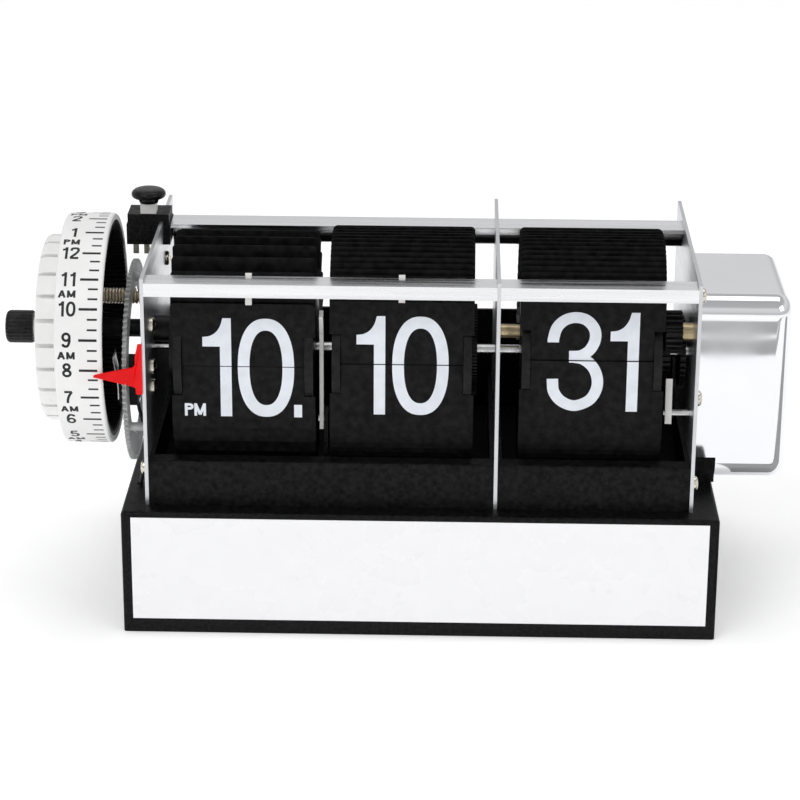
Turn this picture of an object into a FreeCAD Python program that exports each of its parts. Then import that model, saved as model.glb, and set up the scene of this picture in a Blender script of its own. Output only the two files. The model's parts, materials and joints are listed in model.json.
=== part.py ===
import FreeCAD, Part
import math
import os

import Sketcher
from FreeCAD import Placement, Rotation, Vector

# Flip number clock: a split-card clock movement with an alarm dial, on a plain box base.
# Frame: millimetres, +X to the reader's right, +Y away from the reader, +Z up.
# The origin is the centre of the base's underside. All drums turn about axes along X.

doc = FreeCAD.newDocument("flip_clock")
sheet = doc.addObject("Spreadsheet::Sheet", "Sheet")

SIZES = [
    # the box base
    ("base_width", 180.0), ("base_depth", 100.0), ("base_height", 39.3), ("base_wall", 2.5),
    ("base_edge", 1.0), ("panel_width", 174.0), ("panel_low", 4.4), ("panel_high", 37.7),
    ("panel_thick", 1.2), ("floor_thick", 2.0), ("pad_radius", 6.0), ("pad_thick", 1.0),
    ("pad_x", 74.0), ("pad_y", 34.0), ("boss_x", 82.0), ("boss_y", 42.0), ("boss_radius", 3.5),
    ("screw_shank", 1.2), ("screw_head", 2.35), ("head_thick", 1.5),
    # the frame of three side plates and two pairs of bars
    ("plate_thick", 1.1), ("plate_left", -83.0), ("plate_middle", 22.1), ("plate_right", 81.1),
    ("frame_front", -43.95), ("frame_back", 44.0), ("frame_top", 111.0),
    ("bar_low", 105.65), ("bar_top", 109.7), ("bar_depth", 8.4), ("bar_thick", 1.2),
    ("rear_bar_front", 15.8), ("rear_bar_back", 26.2), ("guide_low", 102.4), ("guide_top", 104.3),
    # the card trays
    ("tray_front", -43.6), ("tray_back", 40.0), ("tray_top", 53.5), ("tray_floor", 41.3),
    ("tray_wall", 1.3), ("tray_front_wall", 5.6), ("tray_back_top", 75.0),
    # cards and reels
    ("axis_y", -17.0), ("axis_z", 81.1), ("hinge_radius", 18.5), ("card_reach", 19.8),
    ("card_width", 43.2), ("card_thick", 0.16), ("card_corner", 1.3), ("notch_width", 3.3),
    ("notch_reach", 9.4), ("pin_half", 0.3), ("pin_length", 1.0), ("card_gap", 0.12),
    ("hour_x", -53.5), ("minute_x", -5.95), ("date_x", 50.9),
    ("disc_thick", 2.5), ("hub_radius", 5.0),
    ("groove_depth", 1.15), ("shaft_radius", 1.5), ("pivot_radius", 1.2), ("running_gap", 0.05),
    # alarm dial and time-setting knob
    ("dial_z", 86.6), ("dial_radius", 35.0), ("dial_right", -93.8), ("band_width", 14.0),
    ("dial_wall", 2.0), ("grip_radius", 28.4), ("grip_end", -114.6), ("grip_slots", 24.0),
    ("slot_width", 1.3), ("knob_left", -127.1), ("knob_right", -118.6), ("knob_radius", 5.0),
    ("sleeve_radius", 2.75), ("bush_radius", 4.1), ("bush_end", -76.9), ("knob_shaft_radius", 1.45),
    # chrome housing on the right
    ("housing_left", 82.5), ("housing_right", 115.6), ("housing_front", -19.0),
    ("housing_back", 31.5), ("housing_low", 39.6), ("housing_top", 99.0), ("housing_edge", 5.5),
    ("housing_wall", 1.4), ("bracket_right", 90.5), ("bracket_top", 47.0),
    # alarm push switch
    ("switch_x", -86.7), ("switch_front", 14.4), ("switch_depth", 12.0), ("switch_low", 103.4),
    ("switch_step", 110.0), ("switch_top", 113.0), ("switch_width", 13.6), ("flange_width", 13.0),
    ("plunger_width", 4.9), ("plunger_reach", 4.0), ("cap_radius", 5.4), ("cap_low", 115.7),
    ("cap_top", 120.7),
]

for row, (alias, value) in enumerate(SIZES, start=1):
    sheet.set(f"A{row}", alias)
    sheet.set(f"B{row}", str(value))
    sheet.setAlias(f"B{row}", alias)
doc.recompute()


class Size:
    """A number that remembers the spreadsheet expression it comes from."""

    def __init__(self, value, text):
        self.value = value
        self.text = text

    @staticmethod
    def of(other):
        return other if isinstance(other, Size) else Size(float(other), f"{float(other):.6g}")

    def join(self, other, sign, value):
        return Size(value, f"({self.text} {sign} {Size.of(other).text})")

    def __add__(self, other):
        return self.join(other, "+", self.value + Size.of(other).value)

    def __sub__(self, other):
        return self.join(other, "-", self.value - Size.of(other).value)

    def __mul__(self, other):
        return self.join(other, "*", self.value * Size.of(other).value)

    def __truediv__(self, other):
        return self.join(other, "/", self.value / Size.of(other).value)

    def __neg__(self):
        return Size(0.0, "0") - self

    def __float__(self):
        return self.value


class Sizes:
    """Every spreadsheet cell as an attribute, such as S.base_width."""

    def __getattr__(self, alias):
        return Size(float(getattr(sheet, alias)), f"Sheet.{alias}")


S = Sizes()
ALONG_X = Rotation(Vector(0, 1, 0), 90)
ALONG_Z = Rotation()
parts = []


def keep(item, label):
    """Give an object the name of its piece and list it for writing."""
    item.Label = label
    parts.append(item)
    return item


def bind(item, prop, size):
    item.setExpression(prop, Size.of(size).text)


def put(item, x, y, z, rotation=ALONG_Z):
    """Place an object, with its three coordinates bound to the sheet."""
    sizes = [Size.of(value) for value in (x, y, z)]
    item.Placement = Placement(Vector(*[size.value for size in sizes]), rotation)
    for axis, size in zip("xyz", sizes):
        item.setExpression(f"Placement.Base.{axis}", size.text)
    return item


def box(x0, x1, y0, y1, z0, z1, name="box"):
    item = doc.addObject("Part::Box", name)
    lows = [Size.of(value) for value in (x0, y0, z0)]
    highs = [Size.of(value) for value in (x1, y1, z1)]
    for prop, low, high in zip(("Length", "Width", "Height"), lows, highs):
        bind(item, prop, high - low)
    return put(item, *lows)


def rod(radius, x0, x1, y, z, name="rod"):
    """A cylinder along X."""
    item = doc.addObject("Part::Cylinder", name)
    bind(item, "Radius", radius)
    bind(item, "Height", Size.of(x1) - x0)
    return put(item, x0, y, z, ALONG_X)


def post(radius, x, y, z0, z1, name="post"):
    """A cylinder along Z."""
    item = doc.addObject("Part::Cylinder", name)
    bind(item, "Radius", radius)
    bind(item, "Height", Size.of(z1) - z0)
    return put(item, x, y, z0)


def fuse(items, name="fuse"):
    item = doc.addObject("Part::MultiFuse", name)
    item.Shapes = items
    item.Refine = True
    return item


def cut(base, tools, name="cut"):
    item = doc.addObject("Part::Cut", name)
    item.Base = base
    item.Tool = tools[0] if len(tools) == 1 else fuse(tools)
    item.Refine = True
    return item


def group(items, name="group"):
    """Several separate solids in one node."""
    item = doc.addObject("Part::Compound", name)
    item.Links = items
    return item


def rounded(base, radius, wanted, name="rounded"):
    """Fillet the edges of base for which wanted(edge) holds."""
    doc.recompute()
    item = doc.addObject("Part::Fillet", name)
    item.Base = base
    edges = base.Shape.Edges
    item.Edges = [(i, radius, radius) for i, edge in enumerate(edges, start=1) if wanted(edge)]
    return item


def origin_plane(body, role):
    return next(item for item in body.Origin.OriginFeatures if item.Role == role)


def outline(body, role, points, circles=()):
    """A closed sketch of straight sides, and circles, with every coordinate bound to the sheet."""
    sketch = body.newObject("Sketcher::SketchObject", "sketch")
    sketch.AttachmentSupport = [(origin_plane(body, role), "")]
    sketch.MapMode = "FlatFace"
    places = [(Size.of(a), Size.of(b)) for a, b in points]
    count = len(places)
    for i, (a, b) in enumerate(places):
        c, d = places[(i + 1) % count]
        start = Vector(a.value, b.value, 0)
        sketch.addGeometry(Part.LineSegment(start, Vector(c.value, d.value, 0)), False)
    for i in range(count):
        sketch.addConstraint(Sketcher.Constraint("Coincident", i, 2, (i + 1) % count, 1))
    for i, (a, b) in enumerate(places):
        fix_point(sketch, i, 1, a, b)
    for x, y, radius in circles:
        x, y, radius = Size.of(x), Size.of(y), Size.of(radius)
        centre = Vector(x.value, y.value, 0)
        ring = sketch.addGeometry(Part.Circle(centre, Vector(0, 0, 1), radius.value), False)
        fix_point(sketch, ring, 3, x, y)
        index = sketch.addConstraint(Sketcher.Constraint("Radius", ring, radius.value))
        sketch.setExpression(f"Constraints[{index}]", radius.text)
    return sketch


def fix_point(sketch, geometry, vertex, x, y):
    for kind, size in (("DistanceX", x), ("DistanceY", y)):
        constraint = Sketcher.Constraint(kind, -1, 1, geometry, vertex, size.value)
        index = sketch.addConstraint(constraint)
        sketch.setExpression(f"Constraints[{index}]", size.text)


def turned(points, y, z, name):
    """A piece turned about the X direction from (x, radius) points, on the axis at y, z."""
    body = doc.addObject("PartDesign::Body", name)
    sketch = outline(body, "XZ_Plane", points)
    doc.recompute()
    feature = body.newObject("PartDesign::Revolution", "turning")
    feature.Profile = sketch
    feature.ReferenceAxis = (sketch, ["H_Axis"])
    feature.Angle = 360
    body.Tip = feature
    put(body, 0, y, z)
    return body


def sheet_piece(points, circles, x, thick, name):
    """A flat piece cut to (y, z) points and round holes, standing at x."""
    body = doc.addObject("PartDesign::Body", name)
    sketch = outline(body, "YZ_Plane", points, circles)
    doc.recompute()
    pad = body.newObject("PartDesign::Pad", "pad")
    pad.Profile = sketch
    bind(pad, "Length", thick)
    body.Tip = pad
    put(body, x, 0, 0)
    return body


# --- gears -------------------------------------------------------------------------------

MODULE = 0.6
TOOTH_SHARE = 0.40      # tooth thickness at the pitch circle, as a share of the pitch


def toothed_ring(x, y, z, teeth, first_angle, root, tip, share):
    """A closed wire of straight-flanked teeth; first_angle points at the middle of one tooth."""
    points = []
    for tooth in range(teeth):
        middle = first_angle + 2 * math.pi * tooth / teeth
        pitch = 2 * math.pi / teeth
        for radius, offset in ((root, -0.72), (tip, -0.36), (tip, 0.36), (root, 0.72)):
            angle = middle + offset * pitch * share * (1.0 if radius == tip else 0.93)
            points.append(Vector(x, y + radius * math.cos(angle), z + radius * math.sin(angle)))
    return Part.makePolygon(points + points[:1])


def gear(label, x0, width, y, z, teeth, first_angle, bore, module=MODULE):
    """An external gear along X."""
    pitch_radius = teeth * module / 2
    wire = toothed_ring(x0, y, z, teeth, first_angle, pitch_radius - 1.15 * module,
                        pitch_radius + 0.85 * module, TOOTH_SHARE)
    shape = Part.Face(wire).extrude(Vector(width, 0, 0))
    hole = Part.makeCylinder(bore, width, Vector(x0, y, z), Vector(1, 0, 0))
    item = doc.addObject("Part::Feature", label)
    item.Shape = shape.cut(hole)
    return item


def ring_gear(label, x0, width, y, z, teeth, first_angle, outer, module=MODULE):
    """An internal gear along X; first_angle points at the middle of one tooth space."""
    pitch_radius = teeth * module / 2
    wire = toothed_ring(x0, y, z, teeth, first_angle, pitch_radius - 0.85 * module,
                        pitch_radius + 1.15 * module, 1.0 - TOOTH_SHARE)
    blank = Part.makeCylinder(outer, width, Vector(x0, y, z), Vector(1, 0, 0))
    item = doc.addObject("Part::Feature", label)
    item.Shape = blank.cut(Part.Face(wire).extrude(Vector(width, 0, 0)))
    return item


# --- base --------------------------------------------------------------------------------

def base_shell():
    half_w, half_d = S.base_width / 2, S.base_depth / 2
    corners = [(-half_w, -half_d), (half_w, -half_d), (half_w, half_d), (-half_w, half_d)]
    body = doc.addObject("PartDesign::Body", "base_block")
    sketch = outline(body, "XY_Plane", corners)
    doc.recompute()
    pad = body.newObject("PartDesign::Pad", "pad")
    pad.Profile = sketch
    bind(pad, "Length", S.base_height)
    body.Tip = pad
    inner = S.base_height - S.base_wall
    block = rounded(body, float(S.base_edge), lambda edge: edge.BoundBox.ZMax > 1.0)
    wall = S.base_wall
    hollow = box(-half_w + wall, half_w - wall, -half_d + wall, half_d - wall, -1, inner)
    recess = box(-S.panel_width / 2 - 0.05, S.panel_width / 2 + 0.05, -half_d - 1,
                 -half_d + S.panel_thick, S.panel_low, S.panel_high)
    holes = [post(S.screw_shank + 0.1, x, y, inner - 1, S.base_height + 1)
             for x, y in tray_screw_places()]
    lead_hole = post(1.0, -86.5, -27.0, inner - 1, S.base_height + 1)
    shell = cut(block, [hollow, recess, lead_hole] + holes)
    bosses = [cut(post(S.boss_radius, x, y, S.floor_thick, inner),
                  [post(S.screw_shank, x, y, 0, 14)]) for x, y in boss_places()]
    return keep(fuse([shell] + bosses), "base_shell")


def boss_places():
    return [(S.boss_x * i, S.boss_y * j) for i in (-1, 1) for j in (-1, 1)]


def tray_screw_places():
    return [(x, y) for x in (-66.0, 6.0, 36.0, 68.0) for y in (30.0,)]


def bottom_plate():
    half_w, half_d = S.base_width / 2 - S.base_wall - 0.2, S.base_depth / 2 - S.base_wall - 0.2
    plate = box(-half_w, half_w, -half_d, half_d, 0, S.floor_thick)
    recesses = [post(S.pad_radius + 0.1, x, y, -1, S.pad_thick) for x, y in pad_places()]
    holes = [post(S.screw_shank + 0.1, x, y, -1, S.floor_thick + 1) for x, y in boss_places()]
    sinks = [post(S.screw_head + 0.1, x, y, -1, S.head_thick + 0.1) for x, y in boss_places()]
    return keep(cut(plate, recesses + holes + sinks), "base_bottom_plate")


def pad_places():
    return [(S.pad_x * i, S.pad_y * j) for i in (-1, 1) for j in (-1, 1)]


def upright_screw(x, y, head_low, shank_top):
    head = post(S.screw_head, x, y, head_low, Size.of(head_low) + S.head_thick)
    shank = post(S.screw_shank, x, y, Size.of(head_low) + S.head_thick - 0.2, shank_top)
    return fuse([head, shank])


def base_pieces():
    base_shell()
    bottom_plate()
    pads = [post(S.pad_radius, x, y, 0, S.pad_thick) for x, y in pad_places()]
    keep(group(pads), "rubber_pads")
    screws = [upright_screw(x, y, 0.1, 12.0) for x, y in boss_places()]
    head_low = S.base_height - S.base_wall - S.head_thick
    screws += [upright_screw(x, y, head_low, S.tray_floor - 0.3) for x, y in tray_screw_places()]
    keep(group(screws), "base_screws")
    front = -S.base_depth / 2
    panel = box(-S.panel_width / 2, S.panel_width / 2, front, front + S.panel_thick - 0.02,
                S.panel_low + 0.05, S.panel_high - 0.05)
    keep(panel, "front_panel")
    keep(post(12.0, 44.0, 5.0, S.floor_thick, S.floor_thick + 6.5), "alarm_buzzer")


# --- frame -------------------------------------------------------------------------------

def side_plate(label, x, circles, notch=None):
    front, back, low, top = S.frame_front, S.frame_back, S.base_height, S.frame_top
    points = [(front, low), (back, low), (back, top)]
    if notch:
        y0, y1, z = notch
        points += [(y1, top), (y1, z), (y0, z), (y0, top)]
    points += [(front, top)]
    return keep(sheet_piece(points, circles, x, S.plate_thick, label), label)


HOUR_PAWL_X, PAWL_POST_X = -30.8, -29.4      # the pawl and its post, between two reels


def frame_pieces():
    shaft_hole = (S.axis_y, S.axis_z, S.pivot_radius + S.running_gap)
    notch = (S.switch_front - 0.1, S.switch_front + S.switch_depth + 0.1, S.switch_low - 0.1)
    left_holes = [shaft_hole, (S.axis_y, S.dial_z, S.sleeve_radius)]
    side_plate("left_side_plate", S.plate_left, left_holes, notch)
    side_plate("middle_side_plate", S.plate_middle,
               [(S.axis_y, S.axis_z, S.shaft_radius + S.running_gap)])
    right_holes = [shaft_hole, (MOTOR_Y, S.axis_z, 3.2), (DATE_Y, DATE_Z, 2.3)]
    side_plate("right_side_plate", S.plate_right, right_holes)
    bays = [("main", S.plate_left + S.plate_thick, S.plate_middle),
            ("date", S.plate_middle + S.plate_thick, S.plate_right)]
    low, top, thick = S.bar_low, S.bar_top, S.bar_thick
    front, back = S.frame_front, S.frame_front + S.bar_depth
    front_angle = [(front, low), (front + thick, low), (front + thick, top - thick),
                   (back, top - thick), (back, top), (front, top)]
    front, back = S.rear_bar_front, S.rear_bar_back
    rear_angle = [(front, top - thick), (back - thick, top - thick), (back - thick, low - 4),
                  (back, low - 4), (back, top), (front, top)]
    front_pair = [sheet_piece(front_angle, [], x0, x1 - x0, "bar") for bay, x0, x1 in bays]
    keep(group(front_pair), "front_bars")
    rear_pair = [sheet_piece(rear_angle, [], x0, x1 - x0, "bar") for bay, x0, x1 in bays]
    switch_end = S.switch_x + S.switch_width / 2 + 0.1
    switch_back = S.switch_front + S.switch_depth + 0.1
    corner = box(S.plate_left, switch_end, front - 1, switch_back, low - 5, top + 1)
    keep(group([cut(rear_pair[0], [corner]), rear_pair[1]]), "rear_bars")
    for bay, x0, x1 in bays:
        tray(f"card_tray_{bay}", x0, x1)
    guide_front, guide_back = S.rear_bar_back - 2.8, S.rear_bar_back - S.bar_thick
    guides = [box(start, x1, guide_front, guide_back, S.guide_low, S.guide_top)
              for start, x1 in ((switch_end, bays[0][2]), bays[1][1:])]
    keep(group(guides), "rear_card_guides")


def tray(label, x0, x1):
    wall = S.tray_wall
    block = box(x0, x1, S.tray_front, S.tray_back, S.base_height, S.tray_top)
    block = rounded(block, 0.8, lambda edge: edge.BoundBox.ZMin > float(S.tray_top) - 0.1
                    and edge.BoundBox.YMax < float(S.tray_front) + 0.1)
    trough = box(x0 + wall, x1 - wall, S.tray_front + S.tray_front_wall, S.tray_back - wall,
                 S.tray_floor, S.tray_top + 1)
    holes = [post(S.screw_shank, x, y, S.base_height - 1, S.tray_floor - 0.3)
             for x, y in tray_screw_places() if float(x0) < x < float(x1)]
    back_wall = box(x0, x1, S.tray_back - wall, S.tray_back, S.tray_top - 1, S.tray_back_top)
    shaped = fuse([cut(block, [trough] + holes), back_wall])
    if float(x0) < PAWL_POST_X < float(x1):
        upright = cut(box(PAWL_POST_X, PAWL_POST_X + 1.2, -33.0, -27.0, S.tray_floor - 0.5, 65.4),
                      [rod(1.1, PAWL_POST_X - 1, PAWL_POST_X + 2, -29.9, 62.6)])
        shaped = fuse([shaped, upright])
    return keep(shaped, label)


# --- cards and reels ---------------------------------------------------------------------

UNITS = {"hour": (S.hour_x, 24), "minute": (S.minute_x, 60), "date": (S.date_x, 62)}
SPLIT_ANGLE = {"hour": 0.0, "minute": 4.0, "date": 10.0}     # height of the split on the reel
DISC_RADIUS = {"hour": 20.4, "minute": 20.1, "date": 19.3}
GROOVE_HALF = 0.45
GROOVE_PLAY = {"hour": 0.0, "minute": 0.05, "date": 0.4}     # extra room inward for piled pins
CARD_PILE = 0.19                                             # least distance of two hung cards


def card_tail(count):
    """How far a card reaches past its pins, so that two neighbours meet at the split line."""
    return float(S.hinge_radius) * math.sin(math.pi / count) - float(S.card_gap) / 2


def card_blank(count):
    """One card, standing on its pins at the origin, with its printed face towards -Y."""
    half, notch = float(S.card_width) / 2, float(S.notch_width)
    tail, gap, corner = card_tail(count), float(S.card_gap) / 2, float(S.card_corner)
    reach = float(S.card_reach) - tail - gap
    shoulder = float(S.notch_reach) - tail - gap
    pin, out, thick = float(S.pin_half), float(S.pin_length), float(S.card_thick)
    neck = half - notch
    side = [(neck, -tail), (neck, -pin), (neck + out, -pin), (neck + out, pin), (neck, pin),
            (neck, shoulder), (half, shoulder), (half, reach - corner)]
    right = [Vector(x, 0, z) for x, z in side]
    left = [Vector(-x, 0, z) for x, z in reversed(side)]
    bend = corner * (1 - math.sqrt(0.5))
    arc_right = Part.Arc(right[-1], Vector(half - bend, 0, reach - bend),
                         Vector(half - corner, 0, reach))
    arc_left = Part.Arc(Vector(-half + corner, 0, reach), Vector(-half + bend, 0, reach - bend),
                        left[0])
    sides = [Part.makePolygon(right), arc_right.toShape(),
             Part.LineSegment(arc_right.EndPoint, arc_left.StartPoint).toShape(),
             arc_left.toShape(), Part.makePolygon(left),
             Part.LineSegment(left[-1], right[0]).toShape()]
    edges = [edge for shape in sides for edge in shape.Edges]
    face = Part.Face(Part.Wire(Part.__sortEdges__(edges)))
    blank = face.extrude(Vector(0, thick, 0))
    blank.translate(Vector(0, -thick / 2, 0))
    return blank


def card_at(blank, x, angle_deg, split_deg, least_y=-1000.0):
    """Set a card at its place round the reel: 0 is at the front, 90 at the top.

    In front the cards stand above the split and hang below it, and at the back they fan out.
    """
    angle = math.radians(angle_deg)
    y = float(S.axis_y) - float(S.hinge_radius) * math.cos(angle)
    z = float(S.axis_z) + float(S.hinge_radius) * math.sin(angle)
    if split_deg < angle_deg <= 90:
        lean = 0
    elif -90 <= angle_deg < split_deg:
        lean = 180
    else:
        lean = 90 - angle_deg
    card = blank.copy()
    card.Placement = Placement(Vector(float(x), max(y, least_y), z),
                               Rotation(Vector(1, 0, 0), lean))
    return card


def card_pieces(unit):
    x, count = UNITS[unit]
    split, pitch = SPLIT_ANGLE[unit], 360 / count
    blank = card_blank(count)
    flip = doc.addObject("Part::Feature", f"{unit}_flip")
    flip.Shape = card_at(blank, x, split + pitch / 2, split)
    keep(flip, f"{unit}_flip_card")
    cards, least_y = [], -1000.0
    for i in range(count - 1):
        angle = split - pitch * (i + 0.5)
        card = card_at(blank, x, angle if angle >= -90 else angle + 360, split, least_y)
        cards.append(card)
        least_y = card.Placement.Base.y + CARD_PILE if angle > -60 else -1000.0
    pack = doc.addObject("Part::Feature", f"{unit}_pack")
    pack.Shape = Part.makeCompound(cards)
    keep(pack, f"{unit}_cards")


def reel(unit, bore):
    """Two discs on a hub; a ring groove in each disc's inner face carries the card pins."""
    x, count = UNITS[unit]
    neck, disc = S.card_width / 2 - S.notch_width + 0.15, DISC_RADIUS[unit]
    points = []
    for side in (-1, 1):
        inner, outer = x + neck * side, x + (neck + S.disc_thick) * side
        groove = x + (neck + S.groove_depth) * side
        low = S.hinge_radius - GROOVE_HALF - GROOVE_PLAY[unit]
        high = S.hinge_radius + GROOVE_HALF
        half = [(outer, bore), (outer, disc), (inner, disc), (inner, high),
                (groove, high), (groove, low), (inner, low), (inner, S.hub_radius)]
        points += half if side < 0 else list(reversed(half))
    keep(turned(points, S.axis_y, S.axis_z, f"{unit}_reel"), f"{unit}_reel")


def reel_end(unit, side):
    """The outer face of one disc of a reel."""
    x, count = UNITS[unit]
    return x + (S.card_width / 2 - S.notch_width + 0.15 + S.disc_thick) * side


KNOB_TEETH, RING_TEETH = 14, 36
KNOB_MODULE = 0.5
DATE_GEAR_TEETH, DATE_PINION_TEETH = 34, 20
OUTPUT_TEETH, MOTOR_TEETH = 36, 9
PINION_WIDTH = 5.0
PAWL_WHEEL_TEETH = 80
DATE_ANGLE = math.radians(139)      # from the +Y direction, so it lies up and to the front
DATE_REACH = MODULE * (DATE_GEAR_TEETH + DATE_PINION_TEETH) / 2
DATE_Y = float(S.axis_y) + DATE_REACH * math.cos(DATE_ANGLE)
DATE_Z = float(S.axis_z) + DATE_REACH * math.sin(DATE_ANGLE)
MOTOR_Y = float(S.axis_y) + MODULE * (OUTPUT_TEETH + MOTOR_TEETH) / 2


def reel_pieces():
    free, fixed = S.shaft_radius + S.running_gap, S.shaft_radius
    for unit, bore in (("hour", free), ("minute", fixed), ("date", free)):
        reel(unit, bore)
        card_pieces(unit)
    y, z = float(S.axis_y), float(S.axis_z)
    # the steel shaft: full size between the outer plates, with thinner pivots in their holes
    left, right = S.plate_left + S.plate_thick, S.plate_right
    turn_down = reel_end("hour", -1)
    keep(turned([(S.plate_left, 0), (S.plate_left, S.pivot_radius), (turn_down, S.pivot_radius),
                 (turn_down, S.shaft_radius), (right - 0.1, S.shaft_radius),
                 (right - 0.1, S.pivot_radius), (right + S.plate_thick, S.pivot_radius),
                 (right + S.plate_thick, 0)], S.axis_y, S.axis_z, "main_shaft"), "main_shaft")
    ring_x = float(turn_down) - 2.1
    keep(ring_gear("hour_ring_gear", ring_x, 2.1, y, z, RING_TEETH, math.pi / 2, 11.4,
                   KNOB_MODULE), "hour_ring_gear")
    keep(gear("knob_pinion", ring_x + 0.1, 1.6, y, float(S.dial_z), KNOB_TEETH, math.pi / 2,
              float(S.knob_shaft_radius), KNOB_MODULE), "knob_pinion")
    wheel_x = float(reel_end("minute", 1))
    keep(gear("hour_drive_wheel", wheel_x, 1.6, y, z, PAWL_WHEEL_TEETH, 0.0,
              float(S.shaft_radius), 0.34), "hour_drive_wheel")
    date_x = float(reel_end("date", 1))
    keep(gear("date_gear", date_x, 3.0, y, z, DATE_GEAR_TEETH, DATE_ANGLE,
              float(S.shaft_radius + S.running_gap)), "date_gear")
    half_tooth = math.pi / DATE_PINION_TEETH
    pinion = gear("date_pinion_teeth", date_x + 0.9, PINION_WIDTH, DATE_Y, DATE_Z, DATE_PINION_TEETH,
                  DATE_ANGLE + math.pi + half_tooth, 1.0)
    arbor = rod(1.2, date_x + 0.9, S.plate_right + 1.4, DATE_Y, DATE_Z)
    keep(fuse([pinion, arbor]), "date_pinion")
    bush_x = date_x + 1.0 + PINION_WIDTH
    bush = cut(fuse([rod(2.8, bush_x, S.plate_right, DATE_Y, DATE_Z),
                     rod(2.3, bush_x, S.plate_right + S.plate_thick, DATE_Y, DATE_Z)]),
               [rod(1.25, date_x + 4, S.plate_right + 2, DATE_Y, DATE_Z)])
    stub = cut(rod(2.1, S.plate_middle + S.plate_thick, reel_end("date", -1) - 0.3, y, 92.6 - 5.5),
               [rod(0.8, S.plate_middle, 40, y, 92.6 - 5.5)])
    keep(group([bush, stub]), "date_bushes")
    output_x = date_x + PINION_WIDTH + 1.1
    keep(gear("output_gear", output_x, 1.6, y, z, OUTPUT_TEETH, 0.0, float(S.shaft_radius)),
         "output_gear")
    pinion = gear("motor_pinion_teeth", output_x, 1.8, MOTOR_Y, z, MOTOR_TEETH,
                  math.pi + math.pi / MOTOR_TEETH, 0.6)
    keep(fuse([pinion, rod(0.8, output_x, 86.0, MOTOR_Y, S.axis_z)]), "motor_pinion")


# --- time-setting knob and alarm dial ----------------------------------------------------

def dial_pieces():
    y, z, right = S.axis_y, S.dial_z, S.dial_right
    left, wall, radius = right - S.band_width, S.dial_wall, S.dial_radius
    inner, grip, end = radius - wall, S.grip_radius, S.grip_end
    bore = S.sleeve_radius + S.running_gap
    hub = bore + 2.2
    profile = [(right, inner), (right, radius - 0.4), (right - 0.4, radius), (left + 0.4, radius),
               (left, radius - 0.4), (left, grip), (end + 1.6, grip), (end + 0.5, grip - 0.6),
               (end, grip - 1.8), (end, bore), (-99.0, bore), (-99.0, hub),
               (end + wall, hub), (end + wall, grip - 3.2), (left + wall, grip - 3.2),
               (left + wall, inner)]
    drum = turned(profile, y, z, "dial_drum")
    slots = []
    for i in range(int(S.grip_slots.value)):
        tool = box(end - 1, left - 0.9, -S.slot_width / 2, S.slot_width / 2, grip - 1.6, grip + 2)
        tool.setExpression("Placement.Base.y", None)
        tool.setExpression("Placement.Base.z", None)
        turn = Rotation(Vector(1, 0, 0), 360 * (i + 0.5) / S.grip_slots.value)
        reach = turn.multVec(Vector(0, -float(S.slot_width) / 2, float(grip) - 1.6))
        tool.Placement = Placement(Vector(float(end) - 1, float(y) + reach.y, float(z) + reach.z),
                                   turn)
        slots.append(tool)
    keep(cut(drum, slots), "alarm_dial")
    ring_width = 8.0
    keep(ring_gear("dial_ring_gear", float(right) - ring_width - 0.2, ring_width, float(y),
                   float(z), 120, 0.0, float(inner), 0.52), "dial_ring_gear")
    backing_ring()
    # the bush: a long sleeve outside the left plate and a round boss inside it
    sleeve, bush = S.sleeve_radius, S.bush_radius
    inside = S.plate_left + S.plate_thick
    hole = S.knob_shaft_radius + S.running_gap
    keep(turned([(end + 1.0, hole), (end + 1.0, sleeve), (inside, sleeve), (inside, bush),
                 (S.bush_end, bush), (S.bush_end, hole)], y, z, "knob_bush"), "knob_bush")
    shaft = S.knob_shaft_radius
    keep(rod(shaft, S.knob_left + 2, -75.0, y, z), "knob_shaft")
    keep(cut(rod(3.2, S.knob_right, end - 0.4, y, z), [rod(shaft, -130, -110, y, z)]),
         "knob_collar")
    knob = cut(rod(S.knob_radius, S.knob_left, S.knob_right, y, z),
               [rod(shaft, S.knob_left + 2, -110, y, z)])
    doc.recompute()
    ridge_count, ridge_depth = 20, 0.35
    flutes = []
    for i in range(ridge_count):
        angle = 2 * math.pi * i / ridge_count
        reach = S.knob_radius.value + 0.15
        flutes.append(rod(ridge_depth + 0.1, S.knob_left - 1, S.knob_right - 1.0,
                          float(y) + reach * math.cos(angle), float(z) + reach * math.sin(angle)))
    keep(cut(knob, flutes), "set_knob")


def backing_ring():
    """The toothed milky ring between the dial and the left plate, on three short feet."""
    y, z, x0, width, module, teeth = float(S.axis_y), 76.5, -88.6, 1.2, 0.6, 101
    ring = gear("ring_teeth", x0, width, y, z, teeth, 0.0, 23.0, module)
    feet_radius = 26.6
    feet = [rod(1.3, x0 + width / 2, S.plate_left, y + feet_radius * math.cos(math.radians(turn)),
                z + feet_radius * math.sin(math.radians(turn))) for turn in (90, 210, 330)]
    return keep(fuse([ring] + feet), "dial_backing_ring")


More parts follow.
